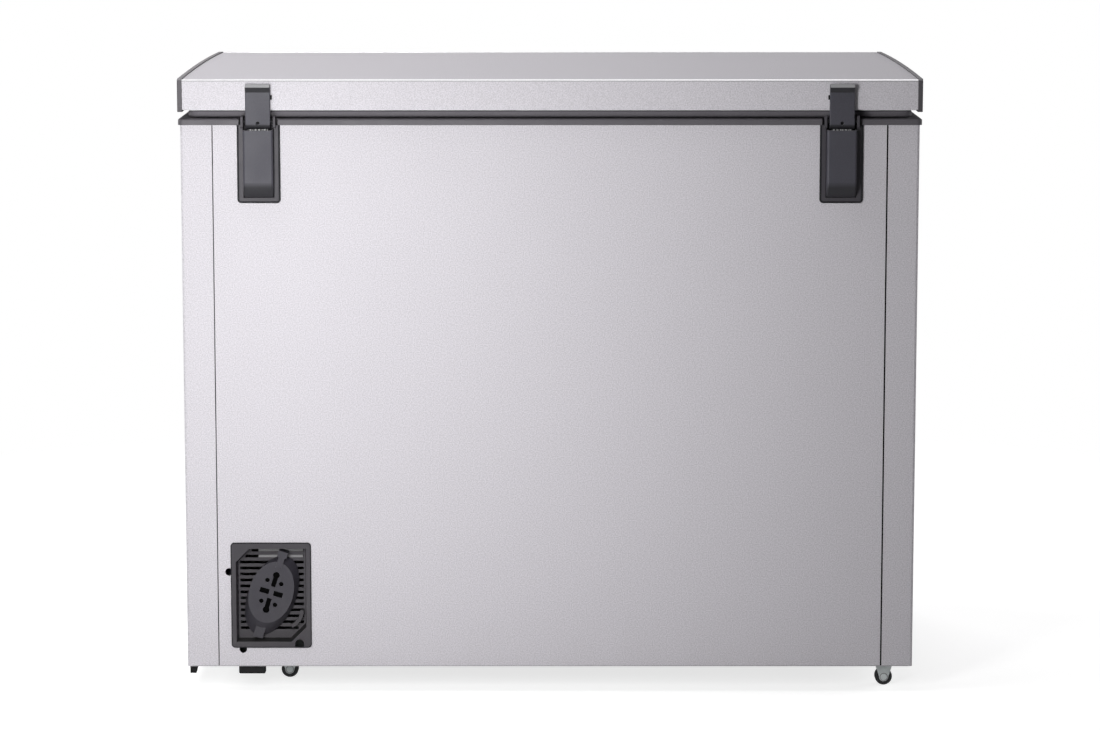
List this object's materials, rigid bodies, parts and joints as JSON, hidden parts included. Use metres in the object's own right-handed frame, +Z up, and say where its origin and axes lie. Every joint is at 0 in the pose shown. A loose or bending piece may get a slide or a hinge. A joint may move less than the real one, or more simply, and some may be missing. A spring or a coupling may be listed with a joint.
{
  "type": "chest freezer",
  "caption": "Top-opening chest freezer on casters: silver sheet cabinet and lid, dark collar, sprung rear lid hinges, rear vent with cord winder, stepped tank and sliding basket.",
  "frame": {"origin": "on the floor, under the middle of the cabinet", "axes": "+Z up, +X along the width towards the compressor end, +Y towards the hinges at the rear"},
  "size_m": [1.016, 0.629, 0.8585],
  "materials": {
    "silver_steel": "satin silver paint with a fine grain",
    "dark_plastic": "matte dark grey",
    "tank_metal": "pale stucco-embossed sheet",
    "liner_plastic": "white, smooth",
    "gasket_rubber": "soft dark grey",
    "foam": "rigid closed-cell foam, matte",
    "zinc_steel": "zinc plated",
    "spring_steel": "bright",
    "black_enamel": "gloss black",
    "copper_tube": "drawn copper",
    "motor_iron": "bare",
    "black_rubber": "matte black",
    "wheel_plastic": "hard, moulded",
    "lamp_cover": "frosted",
    "lamp_circuit": "circuit board",
    "indicator_plastic": "tinted, clear",
    "basket_plastic": "white, smooth"
  },
  "bodies": {
    "cabinet": {"outer_shell": "silver_steel", "rear_panel": "silver_steel", "seam_strips": "black_rubber", "bottom_panel": "zinc_steel", "compressor_tray": "zinc_steel", "inner_tank": "tank_metal", "bay_liner": "zinc_steel", "insulation_foam": "foam", "top_collar": "dark_plastic", "evaporator_tube": "copper_tube", "condenser_tube": "copper_tube", "compressor_shell": "black_enamel", "compressor_motor": "motor_iron", "compressor_feet": "black_enamel", "compressor_grommets": "black_rubber", "compressor_bolts": "zinc_steel", "terminal_cover": "dark_plastic", "filter_drier": "copper_tube", "refrigerant_pipes": "copper_tube", "vent_cover": "dark_plastic", "cord_winder": "dark_plastic", "control_panel": "dark_plastic", "thermostat_body": "dark_plastic", "indicator_lenses": "indicator_plastic", "drain_tube": "liner_plastic", "hinge_base_left": "dark_plastic", "hinge_base_right": "dark_plastic", "hinge_cover_left": "dark_plastic", "hinge_cover_right": "dark_plastic", "hinge_pins": "black_enamel", "hinge_spring_left": "spring_steel", "hinge_spring_right": "spring_steel", "hinge_screws": "zinc_steel", "caster_brackets": "zinc_steel", "caster_axles": "zinc_steel", "corner_skid": "black_rubber", "tray_bumper": "black_rubber"},
    "lid": {"lid_skin": "silver_steel", "lid_end_cap_left": "dark_plastic", "lid_end_cap_right": "dark_plastic", "lid_foam": "foam", "lid_liner": "liner_plastic", "lid_gasket": "gasket_rubber", "lid_handle": "dark_plastic", "lamp_lens": "lamp_cover", "lamp_board": "lamp_circuit", "hinge_leaf_left": "dark_plastic", "hinge_leaf_right": "dark_plastic", "leaf_pins": "black_enamel"},
    "knob": {"control_knob": "dark_plastic"},
    "basket": {"storage_basket": "basket_plastic"},
    "plug": {"drain_plug": "liner_plastic"},
    "plunger_left": {"hinge_plunger_left": "spring_steel"},
    "plunger_right": {"hinge_plunger_right": "spring_steel"},
    "wheel_rear_left": {"caster_wheel_rear_left": "wheel_plastic"},
    "wheel_rear_right": {"caster_wheel_rear_right": "wheel_plastic"},
    "wheel_front_left": {"caster_wheel_front_left": "wheel_plastic"},
    "wheel_front_right": {"caster_wheel_front_right": "wheel_plastic"}
  },
  "joints": [
    {"name": "lid_hinge", "type": "hinge", "parent": "cabinet", "child": "lid", "pos_m": [0, 0.3045, 0.797], "axis": [-1, 0, 0], "range_deg": [0, 80]},
    {"name": "knob_turn", "type": "hinge", "parent": "cabinet", "child": "knob", "pos_m": [0.351, -0.3033, 0.094], "axis": [0, 1, 0], "range_deg": [0, 270]},
    {"name": "basket_slide", "type": "slide", "parent": "cabinet", "child": "basket", "axis": [1, 0, 0], "range_m": [0, 0.62]},
    {"name": "plug_pull", "type": "slide", "parent": "cabinet", "child": "plug", "axis": [0, 0, 1], "range_m": [0, 0.06]},
    {"name": "plunger_left_lift", "type": "slide", "parent": "cabinet", "child": "plunger_left", "axis": [0, 0, 1], "range_m": [0, 0.0041], "deforming": ["hinge_spring_left"]},
    {"name": "plunger_right_lift", "type": "slide", "parent": "cabinet", "child": "plunger_right", "axis": [0, 0, 1], "range_m": [0, 0.0041], "deforming": ["hinge_spring_right"]},
    {"name": "wheel_rear_left_spin", "type": "hinge", "parent": "cabinet", "child": "wheel_rear_left", "pos_m": [0.369, 0.21, 0.012], "axis": [0, 1, 0], "continuous": true},
    {"name": "wheel_rear_right_spin", "type": "hinge", "parent": "cabinet", "child": "wheel_rear_right", "pos_m": [-0.469, 0.255, 0.012], "axis": [0, 1, 0], "continuous": true},
    {"name": "wheel_front_left_spin", "type": "hinge", "parent": "cabinet", "child": "wheel_front_left", "pos_m": [0.369, -0.21, 0.012], "axis": [0, 1, 0], "continuous": true},
    {"name": "wheel_front_right_spin", "type": "hinge", "parent": "cabinet", "child": "wheel_front_right", "pos_m": [-0.469, -0.255, 0.012], "axis": [0, 1, 0], "continuous": true}
  ],
  "couplings": [
    {"joint": "plunger_left_lift", "follows": "lid_hinge", "m_per_rad": 0.0028648},
    {"joint": "plunger_right_lift", "follows": "lid_hinge", "m_per_rad": 0.0028648}
  ]
}
